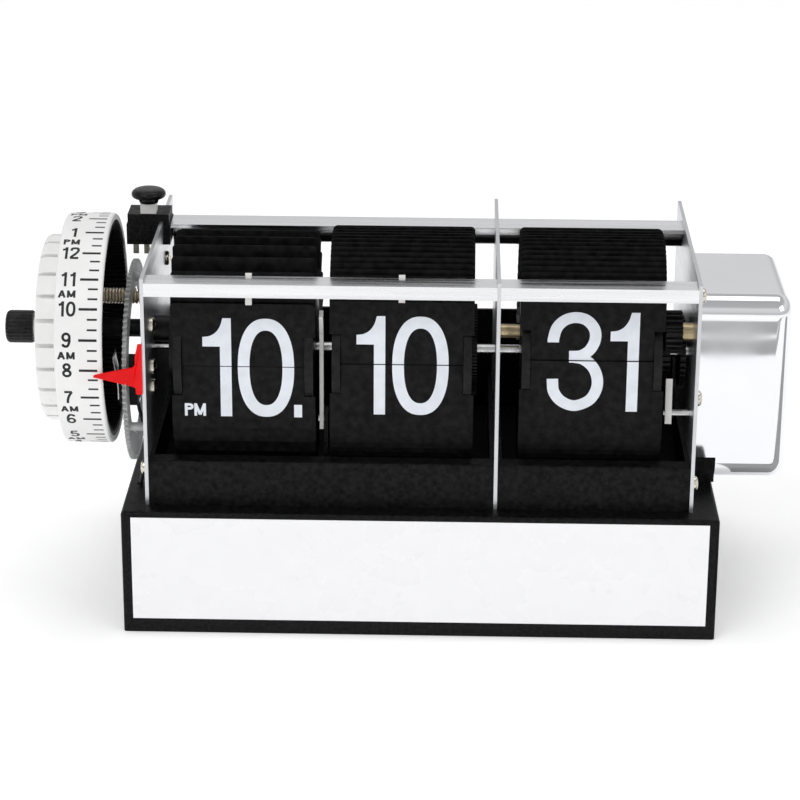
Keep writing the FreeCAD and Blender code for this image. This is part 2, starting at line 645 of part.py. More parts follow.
def alarm_pieces():
    y, z = float(S.axis_y), float(S.dial_z)
    # threaded post with its coil spring, above the sleeve
    post_z = 96.9
    spring = cut(rod(2.45, -98.6, -86.4, y, post_z), [rod(1.75, -100, -80, y, post_z)])
    keep(spring, "tension_spring")
    keep(fuse([rod(1.4, -99.0, S.plate_left, y, post_z), rod(2.45, -86.2, S.plate_left, y, post_z),
               rod(2.45, -99.6, -98.8, y, post_z)]), "spring_post")
    # micro switch on two spacers, with its leaf
    case = box(-90.9, -85.4, -36.0, -25.0, 68.5, 81.0)
    spacers = [rod(1.8, -85.4, S.plate_left, -27.6, height) for height in (71.5, 78.0)]
    keep(fuse([case] + spacers), "micro_switch")
    leaf = fuse([box(-91.6, -91.2, -34.8, -27.0, 69.5, 83.6), box(-92.9, -91.2, -34.8, -27.0, 83.2, 83.6)])
    keep(leaf, "switch_leaf")
    lead_piece()
    # red pointer: an upright on the plate's front edge and a blade that reaches over the scale
    upright = box(S.plate_left - 1.9, S.plate_left + 0.2, S.frame_front - 1.2, S.frame_front,
                  75.2, 91.0)
    root_x, root_y, tip_x, tip_y = -84.6, -45.6, -96.0, -55.0
    blade = [Vector(root_x, root_y, 77.7), Vector(root_x, root_y, 83.9),
             Vector(tip_x, tip_y, 84.95), Vector(tip_x, tip_y, 84.2)]
    face = Part.Face(Part.makePolygon(blade + blade[:1]))
    pointer = doc.addObject("Part::Feature", "pointer_blade")
    pointer.Shape = face.extrude(Vector(0.66, -0.76, 0))
    keep(fuse([upright, pointer]), "alarm_pointer")


def lead_piece():
    """The switch's lead, held between the switch and a hole in the base's top."""
    keep(post(0.55, -86.5, -27.0, 37.4, 68.5), "switch_lead")


# --- alarm push switch -------------------------------------------------------------------

def button_pieces():
    x, y = S.switch_x, S.switch_front + S.plunger_reach
    half, flange, depth = S.switch_width / 2, S.flange_width / 2, S.switch_depth
    front, back = S.switch_front, S.switch_front + depth
    lower = box(x - half, x + half, front, back, S.switch_low, S.switch_step)
    upper = box(x - flange, x + flange, front + 0.8, back - 0.8, S.switch_step, S.switch_top)
    gap = S.plunger_width / 2 + 0.1
    well = box(x - gap, x + gap, y - gap, y + gap, S.switch_low + 3, S.switch_top + 1)
    keep(cut(fuse([lower, upper]), [well]), "alarm_switch_body")
    pins = [box(x + dx - 0.9, x + dx + 0.9, y - 0.2, y + 0.2, S.switch_low - 4.2, S.switch_low)
            for dx in (-4.4, -1.0)]
    keep(group(pins), "switch_terminals")
    side = S.plunger_width / 2
    stem = box(x - side, x + side, y - side, y + side, S.switch_low + 5.2, S.cap_low + 0.4)
    keep(stem, "button_stem")
    cap = doc.addObject("PartDesign::Body", "cap")
    low, top, radius = S.cap_low + 0.4, S.cap_top, S.cap_radius
    sketch = outline(cap, "XZ_Plane", [(0, low), (2.9, low), (3.2, low + 0.9),
                                       (radius - 0.4, low + 1.1), (radius, low + 1.8),
                                       (radius, low + 2.6), (radius - 0.5, low + 3.5),
                                       (radius - 1.7, low + 4.2), (radius - 3.4, top),
                                       (0, top)])
    doc.recompute()
    feature = cap.newObject("PartDesign::Revolution", "turning")
    feature.Profile = sketch
    feature.ReferenceAxis = (sketch, ["V_Axis"])
    feature.Angle = 360
    cap.Tip = feature
    put(cap, x, y, 0)
    keep(cap, "button_cap")


# --- drive housing -----------------------------------------------------------------------

def housing_pieces():
    left, right = S.housing_left, S.housing_right
    front, back, low, top = S.housing_front, S.housing_back, S.housing_low, S.housing_top
    wall = S.housing_wall
    outer = box(left, right, front, back, low, top)
    shape = rounded(outer, float(S.housing_edge),
                    lambda edge: edge.BoundBox.XMax > float(left) + 0.1)
    inner = box(left - 1, right - wall, front + wall, back - wall, low + wall, top - wall)
    inside = rounded(inner, float(S.housing_edge - wall),
                     lambda edge: edge.BoundBox.XMax > float(left))
    notch = box(left - 1, S.bracket_right + 0.2, front - 1, -8, low - 1, S.bracket_top + 0.2)
    keep(cut(shape, [inside, notch]), "motor_housing")
    bracket = box(S.plate_right + S.plate_thick, S.bracket_right, front - 0.4, -8.4,
                  S.base_height, S.bracket_top)
    keep(bracket, "motor_bracket")
    motor_x = 84.4
    motor = cut(rod(9.5, motor_x, motor_x + 13, MOTOR_Y, S.axis_z),
                [rod(0.85, motor_x - 1, motor_x + 3, MOTOR_Y, S.axis_z)])
    keep(motor, "drive_motor")
    feet = fuse([box(S.plate_right + S.plate_thick, motor_x, MOTOR_Y - 9, MOTOR_Y + 9, 68.4, 72.0),
                 box(S.plate_right + S.plate_thick, motor_x, MOTOR_Y - 9, MOTOR_Y + 9, 90.2, 93.8),
                 box(motor_x, motor_x + 4, MOTOR_Y - 9, MOTOR_Y + 9, 68.4, 71.4)])
    cell_x, cell_y, cell_low, cell_high = 97.6, 17.0, 44.2, 93.4
    cell = fuse([post(7.1, cell_x, cell_y, cell_low, cell_high),
                 post(2.6, cell_x, cell_y, cell_high, cell_high + 1.2)])
    keep(cell, "battery_cell")
    tabs = [box(cell_x - 5, cell_x + 5, cell_y - 4, cell_y + 4, cell_high + 1.2, cell_high + 1.8),
            box(cell_x - 5, cell_x + 5, cell_y - 4, cell_y + 4, cell_low - 0.6, cell_low)]
    keep(group(tabs), "battery_contacts")
    carrier = cut(box(S.plate_right + S.plate_thick, 106.0, 8.4, 25.0, 43.2, 95.4),
                  [box(cell_x - 7.4, 107, cell_y - 7.4, cell_y + 7.4, cell_low - 0.6, 95.2)])
    keep(group([feet, carrier]), "movement_carriers")


# --- levers, stops and screws ------------------------------------------------------------

def small_pieces():
    fingers = []
    for x, low in ((-51.5, 101.2), (-6.0, 102.5)):
        finger = [(-37.3, low), (-36.1, low), (-36.1, 107.2), (-34.7, 107.2), (-34.7, 110.4),
                  (-35.5, 110.4), (-35.5, 108.45), (-37.3, 108.45)]
        fingers.append(sheet_piece(finger, [], x - 0.95, 1.9, "finger"))
    keep(group(fingers), "card_stop_fingers")
    pin, hole = 1.1, 1.15
    hour_pin, date_pin = (-29.9, 62.6), (-31.0, 66.4)
    hour_lever = sheet_piece([(-31.8, 60.0), (-28.0, 60.0), (-27.6, 92.0), (-30.6, 97.6),
                              (-33.6, 96.4), (-30.8, 90.0)], [(*hour_pin, hole)],
                             HOUR_PAWL_X, 1.2, "lever")
    keep(hour_lever, "hour_pawl_lever")
    date_lever = sheet_piece([(-33.0, 63.6), (-29.0, 63.6), (-28.8, 75.4), (-31.6, 77.6)],
                             [(*date_pin, hole)], S.plate_right - 7.6, 2.0, "lever")
    keep(date_lever, "date_pawl_lever")
    pins = [rod(pin, HOUR_PAWL_X - 0.4, PAWL_POST_X + 1.2, *hour_pin),
            rod(pin, S.plate_right - 8.0, S.plate_right, *date_pin)]
    keep(group(pins), "pawl_pins")
    keep(group(frame_screws()), "frame_screws")


def frame_screws():
    """Pan-head screws with their heads on the plates' faces."""
    inner_left = S.plate_left + S.plate_thick
    outer_right = S.plate_right + S.plate_thick
    screws = [pan_screw(inner_left, y, z, 1, 1.8)
              for y, z in ((19.0, 97.6), (-27.6, 91.2), (-27.6, 78.0), (-27.6, 71.5))]
    screws.append(pan_screw(S.plate_left, -40.6, 50.4, -1, 2.0))
    screws.append(pan_screw(outer_right, -40.6, 107.0, 1, 2.0))
    screws.append(pan_screw(outer_right, -40.6, 74.8, 1, 2.0))
    screws.append(pan_screw(outer_right, -40.6, 47.4, 1, 2.0))
    return screws


def pan_screw(x, y, z, side, depth):
    """One screw along X whose head sits on the face at x, on the given side."""
    head_end = Size.of(x) + S.head_thick * side
    low, high = (x, head_end) if side > 0 else (head_end, x)
    return rod(S.screw_head, low, high, y, z, "screw")


base_pieces()
frame_pieces()
reel_pieces()
dial_pieces()
alarm_pieces()
button_pieces()
housing_pieces()
small_pieces()
doc.recompute()

for item in doc.Objects:
    if "Invalid" in item.State or "Error" in item.State:
        raise RuntimeError(f"{item.Name} ({item.Label}) failed: {item.State}")
for item in parts:
    if item.Shape.isNull() or not item.Shape.isValid() or not item.Shape.Solids:
        raise RuntimeError(f"{item.Label} has no valid solid")

os.makedirs("parts", exist_ok=True)
for item in parts:
    item.Shape.exportStep(f"parts/{item.Label}.step")
print(len(parts), "pieces written")
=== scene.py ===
import json
import math

import bmesh
import bpy
from mathutils import Matrix, Vector
from mathutils.geometry import delaunay_2d_cdt


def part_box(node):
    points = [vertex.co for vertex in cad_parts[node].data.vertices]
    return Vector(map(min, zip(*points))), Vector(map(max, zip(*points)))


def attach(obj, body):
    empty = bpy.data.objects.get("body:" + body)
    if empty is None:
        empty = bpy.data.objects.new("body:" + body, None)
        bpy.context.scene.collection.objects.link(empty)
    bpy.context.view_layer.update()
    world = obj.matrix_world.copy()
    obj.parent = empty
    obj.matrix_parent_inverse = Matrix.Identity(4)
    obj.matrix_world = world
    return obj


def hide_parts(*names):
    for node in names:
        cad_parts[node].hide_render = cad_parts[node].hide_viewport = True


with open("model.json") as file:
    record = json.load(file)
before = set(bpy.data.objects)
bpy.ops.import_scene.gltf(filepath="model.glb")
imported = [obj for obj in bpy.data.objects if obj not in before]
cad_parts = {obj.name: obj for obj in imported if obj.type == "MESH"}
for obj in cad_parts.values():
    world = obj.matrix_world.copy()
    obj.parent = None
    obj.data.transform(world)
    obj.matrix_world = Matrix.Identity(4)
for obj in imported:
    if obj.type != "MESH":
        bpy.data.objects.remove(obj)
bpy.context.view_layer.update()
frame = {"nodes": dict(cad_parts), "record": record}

# Looks of the flip number clock: metres, +X to the reader's right, +Y away, +Z up.

MM = 0.001
NODES = frame["nodes"]
ROOT = "frame"


def mm(*values):
    return Vector([value * MM for value in values])


def node_box(node):
    """The lowest and highest corner of a CAD node, in millimetres."""
    low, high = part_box(node)
    return low / MM, high / MM


# --- camera, light and floor -------------------------------------------------------------

CAMERA_PLACE = (0.009084, -0.805712, 0.361352)
CAMERA_AZIMUTH, CAMERA_ELEVATION, CAMERA_ROLL = 1.152, 20.644, 0.355
CAMERA_LENS = 123.2


def make_camera():
    """The camera stands in front, a little right of the middle, and looks slightly down."""
    azimuth, elevation = math.radians(CAMERA_AZIMUTH), math.radians(CAMERA_ELEVATION)
    roll = math.radians(CAMERA_ROLL)
    ahead = Vector((-math.sin(azimuth) * math.cos(elevation),
                    math.cos(azimuth) * math.cos(elevation), -math.sin(elevation)))
    right = Vector((math.cos(azimuth), math.sin(azimuth), 0))
    up = right.cross(ahead)
    turned_right = math.cos(roll) * right + math.sin(roll) * up
    turned_up = math.cos(roll) * up - math.sin(roll) * right
    data = bpy.data.cameras.new("camera")
    data.lens = CAMERA_LENS
    data.sensor_width = 36.0
    data.clip_start, data.clip_end = 0.01, 100.0
    camera = bpy.data.objects.new("camera", data)
    camera.matrix_world = Matrix((
        (turned_right.x, turned_up.x, -ahead.x, CAMERA_PLACE[0]),
        (turned_right.y, turned_up.y, -ahead.y, CAMERA_PLACE[1]),
        (turned_right.z, turned_up.z, -ahead.z, CAMERA_PLACE[2]),
        (0, 0, 0, 1)))
    bpy.context.collection.objects.link(camera)
    bpy.context.scene.camera = camera


def area_light(name, place, aim, size, power):
    data = bpy.data.lights.new(name, "AREA")
    data.shape = "RECTANGLE"
    data.size, data.size_y = size
    data.energy = power
    light = bpy.data.objects.new(name, data)
    light.location = place
    light.rotation_euler = (Vector(aim) - Vector(place)).to_track_quat("-Z", "Y").to_euler()
    bpy.context.collection.objects.link(light)


def make_world():
    """A pale studio: brightest between the horizon and overhead."""
    world = bpy.data.worlds.new("studio")
    bpy.context.scene.world = world
    world.use_nodes = True
    nodes, links = world.node_tree.nodes, world.node_tree.links
    background = nodes["Background"]
    coords = nodes.new("ShaderNodeTexCoord")
    split = nodes.new("ShaderNodeSeparateXYZ")
    ramp = nodes.new("ShaderNodeValToRGB")
    place = nodes.new("ShaderNodeMapRange")
    place.inputs["From Min"].default_value = -1.0
    links.new(coords.outputs["Generated"], split.inputs[0])
    links.new(split.outputs["Z"], place.inputs["Value"])
    links.new(place.outputs["Result"], ramp.inputs["Fac"])
    links.new(ramp.outputs["Color"], background.inputs["Color"])
    stops = [(0.0, 0.6), (0.5, 0.7), (0.56, 0.66), (0.61, 0.80), (0.76, 0.88), (0.84, 0.56),
             (1.0, 0.52)]
    elements = ramp.color_ramp.elements
    while len(elements) < len(stops):
        elements.new(0.5)
    for element, (position, level) in zip(elements, stops):
        element.position = position
        element.color = (level, level, level * 1.01, 1)
    background.inputs["Strength"].default_value = 0.85


STRIP_RIGHT, STRIP_HEIGHT = 0.5, 0.001
STRIPS = (   # left edge, near edge, far edge, grey level
    (-0.1, -0.2625, -0.2433, 0.45),
    (-0.1, -0.2931, -0.2672, 0.42),
    (0.1, -0.105, -0.015, 0.40),
)


def reflector_strip(left, near, far, level):
    """A grey card on the floor, which only the reflections show."""
    mesh = bpy.data.meshes.new("strip")
    corners = [(left, near), (STRIP_RIGHT, near), (STRIP_RIGHT, far), (left, far)]
    mesh.from_pydata([(x, y, STRIP_HEIGHT) for x, y in corners], [], [(0, 1, 2, 3)])
    item = bpy.data.objects.new("strip", mesh)
    bpy.context.collection.objects.link(item)
    item.data.materials.append(Paint("strip_card", (level, level, level), 0.9).mottle(30, 0.1)
                               .material)
    item.visible_camera = item.visible_diffuse = item.visible_shadow = False


LIGHTS = (   # name, place, aim, size, power in watts
    ("key", (-0.7, -1.0, 1.5), (0, 0, 0.05), (0.9, 0.9), 6.5),
    ("fill", (1.1, -0.9, 0.9), (0, 0, 0.06), (0.9, 0.7), 2.6),
    ("top", (0.0, 0.25, 1.5), (0, 0, 0.05), (1.4, 0.8), 4.5),
)
FLOOR_DROP = 0.0002      # the floor lies this far below the base's pads


def make_stage():
    """The floor, the cards on it and the lights."""
    floor = bpy.data.meshes.new("floor")
    reach = 6.0
    corners = [(-reach, -reach, 0), (reach, -reach, 0), (reach, reach, 0), (-reach, reach, 0)]
    floor.from_pydata(corners, [], [(0, 1, 2, 3)])
    item = bpy.data.objects.new("floor", floor)
    item.location.z = -FLOOR_DROP
    bpy.context.collection.objects.link(item)
    paint = Paint("floor_paper", (0.93, 0.93, 0.93), 0.9)
    paint.mottle(60, 0.015).set(Emission_Color=(1, 1, 1, 1), Emission_Strength=0.30)
    item.data.materials.append(paint.material)
    for strip in STRIPS:
        reflector_strip(*strip)
    for light in LIGHTS:
        area_light(*light)
    bpy.context.scene.view_settings.view_transform = "Standard"


# --- materials ---------------------------------------------------------------------------

class Paint:
    """A Principled material with procedural detail in the object's own millimetre scale."""

    def __init__(self, name, colour, roughness, metallic=0.0, specular=0.5):
        self.material = bpy.data.materials.new(name)
        self.material.use_nodes = True
        self.nodes = self.material.node_tree.nodes
        self.links = self.material.node_tree.links
        self.shader = self.nodes["Principled BSDF"]
        self.colour, self.roughness = colour, roughness
        self.shader.inputs["Base Color"].default_value = (*colour, 1)
        self.shader.inputs["Roughness"].default_value = roughness
        self.shader.inputs["Metallic"].default_value = metallic
        self.shader.inputs["Specular IOR Level"].default_value = specular
        self.coords = self.nodes.new("ShaderNodeTexCoord").outputs["Object"]
        self.bumps = None

    def set(self, **values):
        for name, value in values.items():
            self.shader.inputs[name.replace("_", " ")].default_value = value
        return self

    def noise(self, scale, stretch=(1, 1, 1), detail=3.0):
        """Noise whose cells are about 1/scale metres across, drawn out along small stretches."""
        mapping = self.nodes.new("ShaderNodeMapping")
        mapping.inputs["Scale"].default_value = stretch
        self.links.new(self.coords, mapping.inputs["Vector"])
        noise = self.nodes.new("ShaderNodeTexNoise")
        noise.inputs["Scale"].default_value = scale
        noise.inputs["Detail"].default_value = detail
        self.links.new(mapping.outputs["Vector"], noise.inputs["Vector"])
        return noise.outputs["Fac"]

    def span(self, source, low, high):
        """Map a 0 to 1 value to low to high."""
        node = self.nodes.new("ShaderNodeMapRange")
        node.inputs["From Min"].default_value = 0.3
        node.inputs["From Max"].default_value = 0.7
        node.inputs["To Min"].default_value = low
        node.inputs["To Max"].default_value = high
        self.links.new(source, node.inputs["Value"])
        return node.outputs["Result"]

    def mottle(self, scale, amount, stretch=(1, 1, 1)):
        """Small changes of colour."""
        mix = self.nodes.new("ShaderNodeMix")
        mix.data_type = "RGBA"
        dark = tuple(max(channel * (1 - amount) - amount * 0.02, 0) for channel in self.colour)
        light = tuple(min(channel * (1 + amount) + amount * 0.02, 1) for channel in self.colour)
        mix.inputs["A"].default_value = (*dark, 1)
        mix.inputs["B"].default_value = (*light, 1)
        self.links.new(self.span(self.noise(scale, stretch), 0, 1), mix.inputs["Factor"])
        self.links.new(mix.outputs["Result"], self.shader.inputs["Base Color"])
        return self

    def wear(self, scale, amount, stretch=(1, 1, 1)):
        """Small changes of roughness."""
        low, high = max(self.roughness - amount, 0.02), min(self.roughness + amount, 1)
        value = self.span(self.noise(scale, stretch, 4.0), low, high)
        self.links.new(value, self.shader.inputs["Roughness"])
        return self

    def bump(self, scale, height_mm, stretch=(1, 1, 1), strength=1.0):
        node = self.nodes.new("ShaderNodeBump")
        node.inputs["Strength"].default_value = strength
        node.inputs["Distance"].default_value = height_mm * MM
        self.links.new(self.noise(scale, stretch), node.inputs["Height"])
        if self.bumps:
            self.links.new(self.bumps, node.inputs["Normal"])
        self.bumps = node.outputs["Normal"]
        self.links.new(self.bumps, self.shader.inputs["Normal"])
        return self


def make_paints():
    """Every material of the clock, by the name of its slot in the record, and the inks."""
    paints = {}

    def add(name, *values, **more):
        paints[name] = Paint(name, *values, **more)
        return paints[name]

    add("black_plastic", (0.0045, 0.0045, 0.005), 0.42, specular=0.12) \
        .mottle(900, 0.25).wear(160, 0.06).bump(5200, 0.012, strength=0.5)
    add("tray_plastic", (0.0055, 0.0055, 0.0055), 0.50, specular=0.12) \
        .mottle(700, 0.2).wear(120, 0.07).bump(4200, 0.015, strength=0.5)
    add("card_plastic", (0.006, 0.006, 0.0065), 0.46, specular=0.11) \
        .mottle(400, 0.18).wear(90, 0.05).bump(3600, 0.006, strength=0.4)
    add("reel_plastic", (0.007, 0.007, 0.0075), 0.38, specular=0.2) \
        .mottle(500, 0.2).wear(200, 0.08).bump(3000, 0.01, strength=0.4)
    add("switch_plastic", (0.007, 0.007, 0.008), 0.5, specular=0.2) \
        .mottle(1500, 0.35).wear(300, 0.1).bump(2600, 0.02, strength=0.5)
    add("knob_plastic", (0.004, 0.004, 0.0045), 0.26, specular=0.2) \
        .mottle(600, 0.2).wear(240, 0.07).bump(1800, 0.006, strength=0.4)
    add("rubber", (0.018, 0.018, 0.018), 0.8, specular=0.25) \
        .mottle(900, 0.3).wear(200, 0.1).bump(2400, 0.03)
    add("lead_insulation", (0.009, 0.009, 0.009), 0.45, specular=0.35) \
        .mottle(900, 0.2).wear(500, 0.1).bump(2500, 0.01)
    add("white_panel", (0.93, 0.93, 0.94), 0.28, specular=0.4) \
        .mottle(120, 0.012).wear(60, 0.05).bump(900, 0.004, strength=0.3)
    add("dial_white", (0.88, 0.88, 0.87), 0.34, specular=0.4) \
        .mottle(160, 0.02).wear(120, 0.07).bump(700, 0.006, strength=0.3)
    add("white_plastic", (0.88, 0.87, 0.84), 0.42, specular=0.4) \
        .mottle(300, 0.04).wear(200, 0.08).bump(900, 0.01, strength=0.4)
    add("milky_plastic", (0.66, 0.68, 0.67), 0.34, specular=0.4) \
        .set(Transmission_Weight=0.55, IOR=1.25) \
        .mottle(220, 0.06).wear(120, 0.08).bump(500, 0.01, strength=0.3)
    add("red_plastic", (0.85, 0.004, 0.006), 0.32, specular=0.2) \
        .mottle(260, 0.05).wear(150, 0.07).bump(900, 0.008, strength=0.3)
    add("plate_steel", (0.66, 0.67, 0.69), 0.33, metallic=1.0) \
        .mottle(90, 0.04).wear(500, 0.05, (1, 0.05, 1)).bump(45, 0.010, strength=0.25) \
        .bump(2500, 0.0012, (1, 0.03, 1), strength=0.5)
    add("bar_aluminium", (0.84, 0.845, 0.86), 0.26, metallic=1.0) \
        .mottle(300, 0.06, (0.03, 1, 1)).wear(900, 0.10, (0.02, 1, 1)) \
        .bump(2800, 0.002, (0.02, 1, 1), strength=0.6)
    add("chrome_cover", (0.86, 0.87, 0.89), 0.06, metallic=1.0) \
        .mottle(40, 0.02).wear(60, 0.03).bump(28, 0.02, strength=0.25)
    add("shaft_steel", (0.62, 0.62, 0.62), 0.22, metallic=1.0) \
        .mottle(400, 0.08).wear(600, 0.1, (1, 0.1, 0.1)).bump(2600, 0.003, strength=0.4)
    add("motor_steel", (0.55, 0.55, 0.57), 0.32, metallic=1.0) \
        .mottle(200, 0.08).wear(300, 0.1).bump(1500, 0.004, strength=0.4)
    add("terminal_metal", (0.72, 0.70, 0.64), 0.30, metallic=1.0) \
        .mottle(500, 0.1).wear(500, 0.12).bump(1800, 0.004, strength=0.4)
    add("screw_steel", (0.70, 0.66, 0.56), 0.24, metallic=1.0) \
        .mottle(900, 0.12).wear(800, 0.1).bump(2200, 0.006, strength=0.4)
    add("brass", (0.50, 0.41, 0.25), 0.36, metallic=1.0) \
        .mottle(500, 0.1).wear(800, 0.1, (1, 0.1, 0.1)).bump(2600, 0.004, (1, 0.1, 0.1))
    add("spring_brass", (0.72, 0.64, 0.50), 0.24, metallic=1.0) \
        .mottle(900, 0.12).wear(900, 0.1).bump(2600, 0.003, strength=0.4)
    add("battery_wrap", (0.03, 0.035, 0.05), 0.3, specular=0.5) \
        .mottle(200, 0.2).wear(200, 0.08).bump(900, 0.004)
    add("card_ink", (0.80, 0.84, 0.90), 0.42, specular=0.35) \
        .mottle(260, 0.05).wear(300, 0.08).bump(2500, 0.004, strength=0.4)
    add("dial_ink", (0.012, 0.012, 0.013), 0.45, specular=0.35) \
        .mottle(900, 0.3).wear(400, 0.1).bump(2500, 0.003, strength=0.4)
    return paints


# --- mesh helpers ------------------------------------------------------------------------

def loose_mesh(name, points, faces, closed=True):
    """An object from points in millimetres; a closed form gets outward normals."""
    mesh = bpy.data.meshes.new(name)
    mesh.from_pydata([mm(*point) for point in points], [], faces)
    if closed:
        tidy = bmesh.new()
        tidy.from_mesh(mesh)
        bmesh.ops.remove_doubles(tidy, verts=tidy.verts, dist=1e-7)
        bmesh.ops.recalc_face_normals(tidy, faces=tidy.faces)
        tidy.to_mesh(mesh)
        tidy.free()
    item = bpy.data.objects.new(name, mesh)
    bpy.context.collection.objects.link(item)
    return item


def add_mesh(name, points, faces, slot, body, smooth_angle=None, paint=None, closed=True):
    """A piece of the clock, on its body and with its material."""
    item = loose_mesh(name, points, faces, closed)
    item.data.materials.append(PAINTS[paint or slot].material)
    if smooth_angle:
        smooth(item, smooth_angle)
    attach(item, body)
    return item


def smooth(item, angle_deg):
    """Shade smooth, but keep edges sharper than the angle."""
    mesh = item.data
    mesh.polygons.foreach_set("use_smooth", [True] * len(mesh.polygons))
    mesh.set_sharp_from_angle(angle=math.radians(angle_deg))


def soften(item, width_mm, segments=2, angle_deg=35):
    """Round the sharp edges a little, so that they catch the light."""
    bevel = item.modifiers.new("edges", "BEVEL")
    bevel.width = width_mm * MM
    bevel.segments = segments
    bevel.limit_method = "ANGLE"
    bevel.angle_limit = math.radians(angle_deg)
    bevel.use_clamp_overlap = True
    bevel.harden_normals = False


def applied(item):
    """Put the result of the modifiers in the mesh."""
    graph = bpy.context.evaluated_depsgraph_get()
    done = bpy.data.meshes.new_from_object(item.evaluated_get(graph))
    old = item.data
    item.modifiers.clear()
    item.data = done
    bpy.data.meshes.remove(old)
    return item


def joined_points(parts):
    """One list of points and faces from several."""
    points, faces = [], []
    for some_points, some_faces in parts:
        start = len(points)
        points += some_points
        faces += [[index + start for index in face] for face in some_faces]
    return points, faces


def block(x0, x1, y0, y1, z0, z1):
    points = [(x, y, z) for x in (x0, x1) for y in (y0, y1) for z in (z0, z1)]
    faces = [(0, 1, 3, 2), (4, 6, 7, 5), (0, 4, 5, 1), (2, 3, 7, 6), (0, 2, 6, 4), (1, 5, 7, 3)]
    return points, faces


def lathe(profile, centre, axis="X", steps=48):
    """A closed turned form from (along, radius) points; ends with radius 0 close on the axis."""
    points, faces = [], []
    for i in range(steps):
        turn = 2 * math.pi * i / steps
        for along, radius in profile:
            a, b = radius * math.cos(turn), radius * math.sin(turn)
            offset = (along, a, b) if axis == "X" else (a, b, along)
            points.append(tuple(c + o for c, o in zip(centre, offset)))
    count = len(profile)
    for i in range(steps):
        j = (i + 1) % steps
        for k in range(count - 1):
            faces.append([i * count + k, i * count + k + 1, j * count + k + 1, j * count + k])
    return points, faces


def tube(path, radius, sides=12, closed_ends=True):
    """A round tube along points in millimetres."""
    path = [Vector(point) for point in path]
    points, faces = [], []
    normal = None
    for i, here in enumerate(path):
        ahead = (path[min(i + 1, len(path) - 1)] - path[max(i - 1, 0)]).normalized()
        if normal is None:
            guide = Vector((0, 0, 1)) if abs(ahead.z) < 0.9 else Vector((0, 1, 0))
            normal = ahead.cross(guide).normalized()
        normal = (normal - ahead * normal.dot(ahead)).normalized()
        side = ahead.cross(normal)
        for k in range(sides):
            turn = 2 * math.pi * k / sides
            spot = here + radius * (math.cos(turn) * normal + math.sin(turn) * side)
            points.append(tuple(spot))
    for i in range(len(path) - 1):
        for k in range(sides):
            a, b = i * sides + k, i * sides + (k + 1) % sides
            faces.append([a, b, b + sides, a + sides])
    if closed_ends:
        faces.append(list(range(sides)))
        faces.append([(len(path) - 1) * sides + k for k in range(sides)])
    return points, faces


def arc_points(centre, radius_a, radius_b, start, end, count, power=2.0):
    """Points on an ellipse or a squarer superellipse, angles in degrees."""
    out = []
    for i in range(count + 1):
        turn = math.radians(start + (end - start) * i / count)
        c, s = math.cos(turn), math.sin(turn)
        out.append((centre[0] + radius_a * math.copysign(abs(c) ** (2 / power), c),
                    centre[1] + radius_b * math.copysign(abs(s) ** (2 / power), s)))
    return out


def curve_through(points, steps=8):
    """A smooth line through 2-D points (Catmull-Rom)."""
    ends = [tuple(2 * a - b for a, b in zip(points[0], points[1]))]
    ends += list(points)
    ends.append(tuple(2 * a - b for a, b in zip(points[-1], points[-2])))
    out = []
    for i in range(1, len(ends) - 2):
        p0, p1, p2, p3 = ends[i - 1:i + 3]
        for k in range(steps):
            u = k / steps
            out.append(tuple(0.5 * (2 * b + (c - a) * u + (2 * a - 5 * b + 4 * c - d) * u * u
                                    + (3 * b - a - 3 * c + d) * u ** 3)
                             for a, b, c, d in zip(p0, p1, p2, p3)))
    out.append(tuple(points[-1]))
    return out


# --- glyphs: flat figures as strips of quads, in their own units ------------------------

def stroke(points, width, closed=False):
    """A strip of even width along 2-D points, as quads of four 2-D corners."""
    count = len(points)
    sides = []
    for i, (x, y) in enumerate(points):
        before = points[(i - 1) % count] if closed or i else points[0]
        after = points[(i + 1) % count] if closed or i < count - 1 else points[-1]
        dx, dy = after[0] - before[0], after[1] - before[1]
        length = math.hypot(dx, dy) or 1.0
        nx, ny = -dy / length * width / 2, dx / length * width / 2
        sides.append(((x + nx, y + ny), (x - nx, y - ny)))
    pairs = zip(sides, sides[1:] + sides[:1]) if closed else zip(sides, sides[1:])
    return [(a[0], a[1], b[1], b[0]) for a, b in pairs]


def bar(x0, y0, x1, y1, width):
    return stroke([(x0, y0), (x1, y1)], width)


def round_ring(centre, outer, inner, power, count=72):
    """The quads between two superellipses."""
    a = arc_points(centre, *outer, 0, 360, count, power)
    b = arc_points(centre, *inner, 0, 360, count, power)
    return [(a[i], b[i], b[i + 1], a[i + 1]) for i in range(count)]


# Big card figures, in millimetres from the figure's left edge and the split line.

FIGURE_HALF = 15.6       # half the height of a card figure
STEM = 3.4


def big_zero():
    half = 8.45
    return round_ring((half, 0), (half, FIGURE_HALF), (half - 3.5, FIGURE_HALF - 3.75), 2.3)


def big_one():
    right = 8.6
    stem_left, flag_low, flag_high = right - STEM, 6.6, 9.6
    top_left = 6.1
    sweep = curve_through([(0, flag_high), (2.2, 9.95), (4.0, 11.1), (5.3, 13.0),
                           (top_left, FIGURE_HALF)], 6)
    quads = [((stem_left, -FIGURE_HALF), (right, -FIGURE_HALF), (right, flag_low),
              (stem_left, flag_low))]
    for (x0, y0), (x1, y1) in zip(sweep, sweep[1:]):
        quads.append(((x0, flag_low), (x1, flag_low), (x1, y1), (x0, y0)))
    quads.append(((top_left, flag_low), (right, flag_low), (right, FIGURE_HALF),
                  (top_left, FIGURE_HALF)))
    return quads


